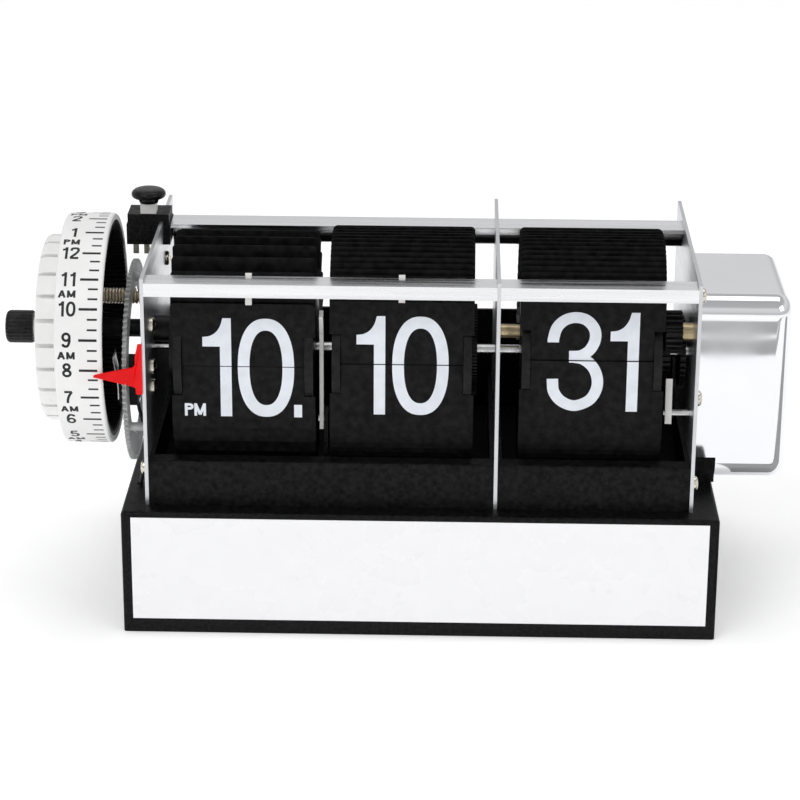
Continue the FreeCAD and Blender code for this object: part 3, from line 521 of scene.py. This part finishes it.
def big_three():
    width = 3.4
    upper = curve_through([(1.7, 6.0), (1.75, 7.2), (2.7, 10.6), (5.0, 13.0), (8.3, 13.9),
                           (11.6, 13.0), (13.9, 10.2), (14.1, 6.8), (12.6, 3.7), (10.2, 2.0),
                           (8.0, 1.7), (6.5, 1.7)], 8)
    lower = curve_through([(6.5, 1.5), (8.0, 1.5), (10.9, 0.8), (13.7, -1.6), (15.1, -5.2),
                           (14.8, -8.9), (12.7, -12.2), (8.4, -13.9), (4.5, -12.5),
                           (2.2, -9.6), (1.75, -6.6), (1.7, -5.4)], 8)
    return stroke(upper, width) + stroke(lower, width)


BIG = {"0": big_zero, "1": big_one, "3": big_three}


# Small lettering: unit height, drawn with a pen; each glyph is (strokes, width).

def small_glyph(name, pen):
    top, low, edge = 1 - pen / 2, pen / 2, pen / 2
    lines = {
        "1": ([[(0.34, low - edge), (0.34, 1.0)],
               [(0.34, 0.97), (0.26, 0.82), (0.08, 0.76)]], 0.42),
        "2": ([curve_through([(0.07, 0.70), (0.12, 0.87), (0.31, top), (0.50, 0.87), (0.52, 0.66),
                              (0.36, 0.42), (0.13, 0.20), (0.07, low)]),
               [(0.03, low), (0.57, low)]], 0.60),
        "3": ([curve_through([(0.08, 0.72), (0.13, 0.88), (0.30, top), (0.48, 0.86), (0.47, 0.64),
                              (0.24, 0.53)]),
               curve_through([(0.24, 0.53), (0.48, 0.45), (0.52, 0.24), (0.40, 0.09), (0.29, low),
                              (0.12, 0.12), (0.07, 0.29)])], 0.60),
        "4": ([[(0.42, low - edge), (0.42, 1.0)], [(0.42, 0.96), (0.06, 0.30)],
               [(0.04, 0.27), (0.58, 0.27)]], 0.62),
        "5": ([[(0.52, top), (0.15, top), (0.10, 0.50)],
               curve_through([(0.10, 0.50), (0.28, 0.60), (0.50, 0.48), (0.52, 0.26), (0.37, 0.07),
                              (0.22, low), (0.07, 0.22)])], 0.60),
        "6": ([arc_points((0.30, 0.31), 0.22, 0.31 - low, 0, 360, 28),
               curve_through([(0.08, 0.32), (0.09, 0.62), (0.19, 0.87), (0.32, top),
                              (0.48, 0.87), (0.51, 0.76)])], 0.60),
        "7": ([[(0.04, top), (0.54, top)],
               curve_through([(0.53, top), (0.34, 0.62), (0.24, 0.30), (0.21, 0)])], 0.58),
        "8": ([arc_points((0.30, 0.74), 0.19, 0.26 - low, 0, 360, 26),
               arc_points((0.30, 0.28), 0.23, 0.28 - low, 0, 360, 28)], 0.60),
        "9": ([arc_points((0.30, 0.69), 0.22, 0.31 - low, 0, 360, 28),
               curve_through([(0.52, 0.68), (0.51, 0.38), (0.41, 0.13), (0.28, low),
                              (0.12, 0.13), (0.09, 0.24)])], 0.60),
        "0": ([arc_points((0.30, 0.5), 0.23, 0.5 - low, 0, 360, 36, 2.3)], 0.60),
        "A": ([[(0.04, 0), (0.33, 1.0)], [(0.33, 1.0), (0.62, 0)],
               [(0.15, 0.34), (0.51, 0.34)]], 0.68),
        "M": ([[(edge, 0), (edge, 1.0)], [(edge, 0.96), (0.42, 0.10)],
               [(0.42, 0.10), (0.84 - edge, 0.96)],
               [(0.84 - edge, 1.0), (0.84 - edge, 0)]], 0.84),
        "P": ([[(0.10, 0), (0.10, 1.0)],
               [(0.10, top), (0.34, top)] + arc_points((0.34, 0.74), 0.20, 0.26 - low, 90, -90, 14)
               + [(0.10, 0.48 + edge)]], 0.60),
    }
    return lines[name]


def small_text(text, height, pen_share, spacing=0.10, stretch=1.0):
    """Quads of a line of small lettering, centred on x = 0 and standing from y = 0."""
    quads, x = [], 0.0
    for letter in text:
        strokes, width = small_glyph(letter, pen_share)
        for points in strokes:
            closed = math.dist(points[0], points[-1]) < 1e-6 and len(points) > 4
            line = points[:-1] if closed else points
            for quad in stroke(line, pen_share, closed):
                quads.append(tuple(((px + x) * stretch, py) for px, py in quad))
        x += width + spacing
    middle = (x - spacing) * stretch / 2
    return [tuple(((px - middle) * height, py * height) for px, py in quad) for quad in quads]


def clip_quads(quads, level, keep_above):
    """Keep the part of flat polygons above or below a level."""
    kept = []
    for quad in quads:
        out = []
        for (x0, y0), (x1, y1) in zip(quad, quad[1:] + quad[:1]):
            inside0 = (y0 >= level) == keep_above
            inside1 = (y1 >= level) == keep_above
            if inside0:
                out.append((x0, y0))
            if inside0 != inside1:
                share = (level - y0) / (y1 - y0)
                out.append((x0 + (x1 - x0) * share, level))
        if len(out) > 2:
            kept.append(tuple(out))
    return kept


SLIVER = 1e-4            # polygons whose doubled area in square millimetres is less are left out
INSIDE_ONLY = 1          # the triangulation stops at the outer outline; holes are dropped after it
MERGE = 1e-5             # corners closer than this, in millimetres, become one


def raised(quads, place, thick):
    """Solid ink: overlapping flat polygons become one form; place(x, y, lift) puts it in 3-D."""
    corners, loops = [], []
    for quad in quads:
        twice_area = sum(a[0] * b[1] - b[0] * a[1] for a, b in zip(quad, quad[1:] + quad[:1]))
        if abs(twice_area) < SLIVER:
            continue
        loop = list(range(len(corners), len(corners) + len(quad)))
        corners += [Vector(point) for point in quad]
        loops.append(loop if twice_area > 0 else loop[::-1])
    flat, _, found, _, _, origins = delaunay_2d_cdt(corners, [], loops, INSIDE_ONLY,
                                                            MERGE)
    triangles = [face for face, origin in zip(found, origins) if origin]
    count = len(flat)
    points = [place(point.x, point.y, thick) for point in flat]
    points += [place(point.x, point.y, 0.0) for point in flat]
    sides = {(a, b) for face in triangles for a, b in zip(face, face[1:] + face[:1])}
    faces = [list(face) for face in triangles]
    faces += [[count + k for k in reversed(face)] for face in triangles]
    faces += [[b, a, a + count, b + count] for a, b in sorted(sides) if (b, a) not in sides]
    return points, faces


# --- the printed cards -------------------------------------------------------------------

INK = 0.03               # thickness of the print on the front cards
FIGURE_DROP = -0.35      # the figures stand a little below the split line
THIN_INK = 0.012         # thickness of the print between two cards
PRINT_GAP = 0.003        # the print stands this far off the card's face
HINGE_CLEAR = 3.2        # the next card is bare this far above the split, where the hinge turns


def card_figures(places):
    """The quads of a number, from the (figure, left edge) of each of its figures."""
    return [tuple((px + left, py + FIGURE_DROP) for px, py in quad)
            for letter, left in places for quad in BIG[letter]()]


def print_card(name, quads, body, face_y, split_z, thick, back=False, upper=True, half_gap=0.1):
    """Print half a number on a card's face; on a back face it stands mirrored about the split."""
    part = clip_quads(quads, half_gap if upper else -half_gap, upper)
    side = 1 if back else -1
    flip = -1 if back else 1

    def place(x, y, lift):
        return (x, face_y + side * (lift + PRINT_GAP), split_z + flip * y)

    points, faces = raised(part, place, thick)
    add_mesh(name, points, faces, "card_plastic", body, paint="card_ink", closed=False)


CARD_COUNTS = {"hour": 24, "minute": 60, "date": 62}
SPLIT_ANGLE = {"hour": 0.0, "minute": 4.0, "date": 10.0}
AXIS_Y, AXIS_Z, HINGE_RADIUS = -17.0, 81.1, 18.5


def second_card_y(unit, thick):
    """The front face of the upper card behind the flip card."""
    angle = SPLIT_ANGLE[unit] + 1.5 * 360 / CARD_COUNTS[unit]
    return AXIS_Y - HINGE_RADIUS * math.cos(math.radians(angle)) - thick / 2


def print_unit(unit, now, after, extra=()):
    """The shown number, in two halves, and the next one behind it."""
    front, back = node_box(f"{unit}_flip_card")
    lower_face = node_box(f"{unit}_cards")[0].y
    thick = back.y - front.y
    split = AXIS_Z + HINGE_RADIUS * math.sin(math.radians(SPLIT_ANGLE[unit]))
    now_quads = card_figures(now) + list(extra)
    next_quads = card_figures(after) + list(extra)
    flip = f"{unit}_flip_card"
    print_card(f"{unit}_figure_upper", now_quads, flip, front.y, split, INK)
    print_card(f"{unit}_figure_lower", now_quads, ROOT, lower_face, split, INK, upper=False)
    print_card(f"{unit}_next_lower", next_quads, flip, back.y, split, THIN_INK, True, False)
    print_card(f"{unit}_next_upper", next_quads, ROOT, second_card_y(unit, thick), split,
               THIN_INK, half_gap=HINGE_CLEAR)


def cards():
    """The numbers 10, 10 and 31; the hour also has its PM and a point."""
    pm = [tuple((x - 68.1, y - 15.9) for x, y in quad)
          for quad in small_text("PM", 4.0, 0.20, 0.08, 1.05)]
    point = [((-38.3, -16.0), (-35.9, -16.0), (-35.9, -12.0), (-38.3, -12.0))]
    print_unit("hour", (("1", -65.6), ("0", -55.1)), (("1", -62.5), ("1", -51.5)), pm + point)
    print_unit("minute", (("1", -19.5), ("0", -8.8)), (("1", -16.0), ("1", -5.0)))
    print_unit("date", (("3", 37.5), ("1", 56.2)), (("1", 46.4),))


# --- the alarm dial's scale --------------------------------------------------------------

DIAL_Y, DIAL_Z, DIAL_RADIUS = -17.0, 86.6, 35.0
NINE_ANGLE = 12.7        # the 9 a.m. tick, above the front of the drum
HOUR_ANGLE = 15.0
DIAL_PRINT_GAP = 0.004   # the print stands this far off the drum
TICK_WIDTH, SMALL_TICK_WIDTH = 0.75, 0.56
NUMBER_HEIGHT, LABEL_HEIGHT = 4.5, 2.2
LABEL_TURN = 7.4         # AM and PM stand this far, in degrees, from their number


def on_drum(angle_deg):
    """Map flat (x along the drum, y round it) to the drum, with y = 0 at the angle."""
    def place(x, y, lift):
        turn = math.radians(angle_deg) + y / DIAL_RADIUS
        radius = DIAL_RADIUS + DIAL_PRINT_GAP + lift
        return (x, DIAL_Y - radius * math.cos(turn), DIAL_Z + radius * math.sin(turn))
    return place


def split_tall(quads, step):
    """Cut long quads into short ones, so that they follow the drum."""
    out = []
    for a, b, c, d in quads:
        count = max(1, math.ceil(max(abs(a[1] - d[1]), abs(b[1] - c[1])) / step))
        for i in range(count):
            u, v = i / count, (i + 1) / count

            def at(p, q, share):
                return (p[0] + (q[0] - p[0]) * share, p[1] + (q[1] - p[1]) * share)
            out.append((at(a, d, u), at(b, c, u), at(b, c, v), at(a, d, v)))
    return out


def dial_scale():
    rim = node_box("alarm_dial")[1].x
    tick_end = rim - 1.3
    long_tick, short_tick = 5.4, 2.9
    number_x = rim - 10.3
    parts = []
    for hour in range(24):
        angle = NINE_ANGLE + (hour - 9) * HOUR_ANGLE
        tick = bar(tick_end - long_tick, 0, tick_end, 0, TICK_WIDTH)
        parts.append(raised(tick, on_drum(angle), INK))
        for third in (1, 2):
            small = bar(tick_end - short_tick, 0, tick_end, 0, SMALL_TICK_WIDTH)
            parts.append(raised(small, on_drum(angle + third * HOUR_ANGLE / 3), INK))
        number = [tuple((x + number_x, y - 2.2) for x, y in quad)
                  for quad in small_text(str(hour % 12 or 12), NUMBER_HEIGHT, 0.165, 0.15)]
        parts.append(raised(split_tall(number, 0.5), on_drum(angle), INK))
        if hour % 2 == 0:
            half_day = "AM" if hour < 12 else "PM"
            label = [tuple((x + number_x, y - 1.05) for x, y in quad)
                     for quad in small_text(half_day, LABEL_HEIGHT, 0.22, 0.16, 1.35)]
            parts.append(raised(label, on_drum(angle + LABEL_TURN), INK))
    points, faces = joined_points(parts)
    add_mesh("dial_scale", points, faces, "dial_white", "alarm_dial", paint="dial_ink",
             closed=False)


# --- detailed pieces that stand for plain CAD ones ---------------------------------------

def coil_spring():
    low, high = node_box("tension_spring")
    centre_y, centre_z = (low.y + high.y) / 2, (low.z + high.z) / 2
    wire, turns, steps = 0.36, 12, 20
    reach = (high.z - low.z) / 2 - wire
    length = high.x - low.x - 2 * wire
    path = []
    for i in range(turns * steps + 1):
        turn = 2 * math.pi * i / steps
        path.append((low.x + wire + length * i / (turns * steps),
                     centre_y + reach * math.cos(turn), centre_z + reach * math.sin(turn)))
    points, faces = tube(path, wire, 10)
    spring = add_mesh("coil_spring", points, faces, "spring_brass", ROOT, 60)
    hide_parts("tension_spring")


def screw_head(centre, side, radius=2.3, height=1.45):
    """A pan head on the X axis; its cross recess is cut into it afterwards."""
    steps, rings = 40, 9
    profile = [(0.0, radius)]
    for i in range(rings + 1):
        turn = math.pi / 2 * i / rings
        along = height * (0.35 + 0.65 * math.sin(turn))
        profile.append((along, radius * max(math.cos(turn) ** 0.6, 0)))
    profile[-1] = (height, 0.0)
    points, faces = lathe([(side * along, r) for along, r in profile], centre, "X", steps)
    return points, faces


def carve(item, cutters):
    """Cut the cutters out of the piece and remove them."""
    for cutter in cutters:
        boolean = item.modifiers.new("cut", "BOOLEAN")
        boolean.object = cutter
        boolean.solver = "EXACT"
    applied(item)
    for cutter in cutters:
        bpy.data.objects.remove(cutter)
    return item


def solid_islands(node):
    """The boxes of a CAD node's separate solids, in millimetres."""
    probe = bmesh.new()
    probe.from_mesh(NODES[node].data)
    bmesh.ops.remove_doubles(probe, verts=probe.verts, dist=1e-6)
    probe.verts.ensure_lookup_table()
    seen, boxes = set(), []
    for vert in probe.verts:
        if vert in seen:
            continue
        stack, members = [vert], []
        seen.add(vert)
        while stack:
            here = stack.pop()
            members.append(here.co / MM)
            for edge in here.link_edges:
                other = edge.other_vert(here)
                if other not in seen:
                    seen.add(other)
                    stack.append(other)
        low = Vector([min(co[k] for co in members) for k in range(3)])
        high = Vector([max(co[k] for co in members) for k in range(3)])
        boxes.append((low, high))
    probe.free()
    return boxes


def frame_screws():
    plates = [node_box(f"{side}_side_plate") for side in ("left", "right")]
    heads, recesses = [], []
    for low, high in solid_islands("frame_screws"):
        middle = (low + high) / 2
        faces_at = [face for pair in plates for face in (pair[0].x, pair[1].x)]
        seat = min(faces_at, key=lambda x: min(abs(low.x - x), abs(high.x - x)))
        side = 1 if middle.x > seat else -1
        centre = (seat, middle.y, middle.z)
        heads.append(screw_head(centre, side))
        tip = seat + side * 1.5
        for tilt in (0.3, 0.3 + math.pi / 2):
            corners, quads = block(-0.9, 0.6, -1.25, 1.25, -0.24, 0.24)
            turned = [(tip + side * x, middle.y + y * math.cos(tilt) - z * math.sin(tilt),
                       middle.z + y * math.sin(tilt) + z * math.cos(tilt)) for x, y, z in corners]
            recesses.append(loose_mesh("recess", turned, quads))
    points, faces = joined_points(heads)
    screws = add_mesh("pan_head_screws", points, faces, "screw_steel", ROOT)
    carve(screws, recesses)
    smooth(screws, 32)
    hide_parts("frame_screws")


CORNER_STEPS = 12
SIDE_SHARES = (0.03, 0.25, 0.5, 0.75, 0.97)    # extra points on the cover's flat sides


def chrome_housing():
    """The pressed cover: a deep rounded box with a softly domed end."""
    low, high = node_box("motor_housing")
    middle_y, middle_z = (low.y + high.y) / 2, (low.z + high.z) / 2
    half_y, half_z = (high.y - low.y) / 2, (high.z - low.z) / 2
    corner, edge, dome = 6.0, 5.4, 2.8
    wall = 1.3

    def ring(inset, x):
        a, b, radius = half_y - inset, half_z - inset, max(corner - inset * 0.8, 1.5)
        points = []
        for cy, cz, start in ((1, 1, 0), (-1, 1, 90), (-1, -1, 180), (1, -1, 270)):
            for i in range(CORNER_STEPS + 1):
                turn = math.radians(start + 90 * i / CORNER_STEPS)
                points.append((x, middle_y + cy * (a - radius) + radius * math.cos(turn),
                               middle_z + cz * (b - radius) + radius * math.sin(turn)))
        filled = []
        for k, here in enumerate(points):
            filled.append(here)
            if k % (CORNER_STEPS + 1) == CORNER_STEPS:
                there = points[(k + 1) % len(points)]
                filled += [tuple(p + (q - p) * share for p, q in zip(here, there))
                           for share in SIDE_SHARES]
        return filled

    def scaled(points, share, x):
        return [(x, middle_y + (p[1] - middle_y) * share, middle_z + (p[2] - middle_z) * share)
                for p in points]

    side_end = high.x - dome - edge
    rings = [ring(0, low.x + (side_end - low.x) * i / 6) for i in range(7)]
    for i in range(1, 10):
        turn = math.pi / 2 * i / 9
        rings.append(ring(edge * (1 - math.cos(turn)), side_end + edge * math.sin(turn) * 0.92))
    rim, rim_x = rings[-1], rings[-1][0][0]
    cap = high.x - rim_x
    for i in range(1, 13):
        share = 1 - i / 13
        rings.append(scaled(rim, share, rim_x + cap * (1 - share ** 2.2)))
    count = len(rings[0])
    points = [p for some in rings for p in some]
    faces = []
    for i in range(len(rings) - 1):
        for k in range(count):
            a, b = i * count + k, i * count + (k + 1) % count
            faces.append([a, b, b + count, a + count])
    points.append((high.x, middle_y, middle_z))
    last = (len(rings) - 1) * count
    faces += [[last + k, last + (k + 1) % count, len(points) - 1] for k in range(count)]
    cover = add_mesh("chrome_cover", points, faces, "chrome_cover", ROOT)
    shell = cover.modifiers.new("wall", "SOLIDIFY")
    shell.thickness = wall * MM
    shell.offset = -1
    applied(cover)
    bracket_low, bracket_high = node_box("motor_bracket")
    gap, beyond = 0.3, 9.0
    notch = loose_mesh("notch", *block(low.x - beyond, bracket_high.x + gap, low.y - beyond,
                                       bracket_high.y + gap, low.z - beyond, bracket_high.z + gap))
    carve(cover, [notch])
    smooth(cover, 50)
    even = cover.modifiers.new("even", "WEIGHTED_NORMAL")
    even.weight = 100
    even.keep_sharp = True
    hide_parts("motor_housing")


def push_button():
    """The mushroom cap, turned with a soft top edge."""
    low, high = node_box("button_cap")
    radius = (high.x - low.x) / 2
    height = high.z - low.z
    rim = curve_through([(0.30, 0.70), (0.42, 0.95), (0.62, 1.0), (0.80, 0.93), (0.93, 0.74),
                         (1.0, 0.30)], 5)
    profile = [(0.0, 0.0), (0.0, 2.9), (height * 0.16, 3.1)]
    profile += [(height * along, radius * reach) for along, reach in rim[:-1]]
    profile += [(height * 0.985, radius * 0.30), (height, radius * 0.12), (height, 0.0)]
    centre = ((low.x + high.x) / 2, (low.y + high.y) / 2, low.z)
    cap = add_mesh("mushroom_cap", *lathe(profile, centre, "Z", 56), "knob_plastic",
                   "alarm_button", 40)
    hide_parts("button_cap")


def set_knob():
    """The finely fluted knob with a rounded outer end."""
    low, high = node_box("set_knob")
    centre_y, centre_z = (low.y + high.y) / 2, (low.z + high.z) / 2
    radius, length, edge = (high.z - low.z) / 2, high.x - low.x, 1.3
    flutes, depth, around = 24, 0.20, 192
    turns = [math.radians(a) for a in range(90, -1, -15)]
    profile = [(edge * (1 - math.sin(turn)), radius - edge * (1 - math.cos(turn)))
               for turn in turns]
    profile += [(length - 0.7, radius), (length - 0.2, radius - 0.2), (length, radius - 0.7)]
    points, faces = [], []
    for along, reach in profile:
        for k in range(around):
            turn = 2 * math.pi * k / around
            dip = depth * (0.5 + 0.5 * math.cos(flutes * turn)) ** 2 * (reach > radius * 0.8)
            points.append((low.x + along, centre_y + (reach - dip) * math.cos(turn),
                           centre_z + (reach - dip) * math.sin(turn)))
    for i in range(len(profile) - 1):
        for k in range(around):
            a, b = i * around + k, i * around + (k + 1) % around
            faces.append([a, b, b + around, a + around])
    faces.append(list(range(around)))
    faces.append([(len(profile) - 1) * around + k for k in range(around)])
    knob = add_mesh("fluted_knob", points, faces, "knob_plastic", "set_knob", 40)
    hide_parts("set_knob")


def switch_lead():
    """The micro switch's lead, bowed towards the plate and down into the base."""
    low, high = node_box("switch_lead")
    x, y = (low.x + high.x) / 2, (low.y + high.y) / 2
    top = high.z
    route = curve_through([(x, y, top + 0.4), (x + 0.3, y, top - 4), (x + 1.9, y, top - 11),
                           (x + 2.2, y, top - 18), (x + 1.0, y, top - 25), (x, y, low.z + 1.0)], 8)
    lead = add_mesh("bowed_lead", *tube(route, 0.55, 14), "lead_insulation", ROOT, 50)
    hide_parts("switch_lead")


def pointer():
    """The red pointer: a soft-edged upright and a blade that narrows to a round tip."""
    low, high = node_box("alarm_pointer")
    plate_low, plate_high = node_box("left_side_plate")
    front = plate_low.y
    edge = high.x - 2.0
    tip_x, tip_z, tip_r = low.x + 0.5, 84.55, 0.42
    outline = [(high.x, high.z), (high.x - 1.2, high.z), (edge - 0.1, high.z - 3.9),
               (edge - 0.1, 84.6), (edge - 0.7, 83.9), (tip_x, tip_z + tip_r)]
    tip_turns = [math.radians(a) for a in range(120, 241, 20)]
    outline += [(tip_x + tip_r * math.cos(turn), tip_z + tip_r * math.sin(turn))
                for turn in tip_turns]
    outline += [(tip_x, tip_z - tip_r), (edge - 0.7, 77.9), (edge - 0.1, 77.2), (edge, low.z),
                (high.x, low.z)]

    def bend(x, z, lift):
        reach = max(edge - x, 0) / (edge - low.x)
        return (x, front - 0.05 - (front - 1.05 - low.y) * reach - lift, z)

    count = len(outline)
    points = [bend(x, z, 0.0) for x, z in outline] + [bend(x, z, 0.95) for x, z in outline]
    faces = [list(range(count)), [count + i for i in reversed(range(count))]]
    faces += [[i, (i + 1) % count, count + (i + 1) % count, count + i] for i in range(count)]
    piece = add_mesh("red_pointer", points, faces, "red_plastic", ROOT)
    soften(piece, 0.18, 3)
    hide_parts("alarm_pointer")


def leaf_springs():
    """The micro switch's own bright leaf, curved as it is sprung."""
    low, high = node_box("switch_leaf")
    path = curve_through([(high.x - 0.25, 0, low.z), (high.x - 0.3, 0, low.z + 4),
                          (low.x + 0.9, 0, low.z + 8.5), (low.x + 0.15, 0, high.z - 1.2),
                          (low.x + 0.5, 0, high.z - 0.2)], 6)
    thick = 0.28
    quads = stroke([(p[0], p[2]) for p in path], thick)
    y0, y1 = low.y + 0.8, high.y - 0.8
    points, faces = [], []
    for quad in quads:
        start = len(points)
        points += [(x, y0, z) for x, z in quad] + [(x, y1, z) for x, z in quad]
        faces.append([start, start + 1, start + 2, start + 3])
        faces.append([start + 7, start + 6, start + 5, start + 4])
        for i in range(4):
            j = (i + 1) % 4
            faces.append([start + i, start + 4 + i, start + 4 + j, start + j])
    piece = add_mesh("sprung_leaf", points, faces, "shaft_steel", "switch_leaf")
    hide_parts("switch_leaf")


# --- carried-over CAD nodes --------------------------------------------------------------

EDGES = {   # node: (edge rounding in mm, shading angle in degrees)
    "base_shell": (0.0, 40), "front_panel": (0.18, 30), "card_tray_main": (0.2, 30),
    "card_tray_date": (0.2, 30), "front_bars": (0.15, 30), "rear_bars": (0.15, 30),
    "left_side_plate": (0.12, 30), "middle_side_plate": (0.12, 30),
    "right_side_plate": (0.12, 30), "alarm_switch_body": (0.25, 30), "micro_switch": (0.3, 30),
    "motor_bracket": (0.5, 30), "button_stem": (0.25, 30), "card_stop_fingers": (0.2, 30),
    "hour_pawl_lever": (0.15, 30), "date_pawl_lever": (0.15, 30),
    "rear_card_guides": (0.2, 30),
}


BLACK_GEARS = {"output_gear": "reel_plastic", "date_pinion": "switch_plastic"}


def dress_nodes():
    """Each CAD node gets its slot's material; two gears are shown in another black one."""
    slots = {entry["node"]: entry["material_slot"] for entry in frame["record"]["subparts"]}
    slots.update(BLACK_GEARS)
    for name, item in NODES.items():
        item.data.materials.clear()
        item.data.materials.append(PAINTS[slots[name]].material)
        width, angle = EDGES.get(name, (0.0, 35))
        smooth_modifier(item, angle)
        if width:
            soften(item, width)


def smooth_modifier(item, angle_deg):
    """Smooth shading by angle, without touching the CAD mesh."""
    weld = item.modifiers.new("weld", "WELD")
    weld.merge_threshold = 1e-6
    split = item.modifiers.new("sharp", "EDGE_SPLIT")
    split.split_angle = math.radians(angle_deg)


make_camera()
make_world()
make_stage()
PAINTS = make_paints()
dress_nodes()
cards()
dial_scale()
coil_spring()
frame_screws()
chrome_housing()
push_button()
set_knob()
switch_lead()
pointer()
leaf_springs()
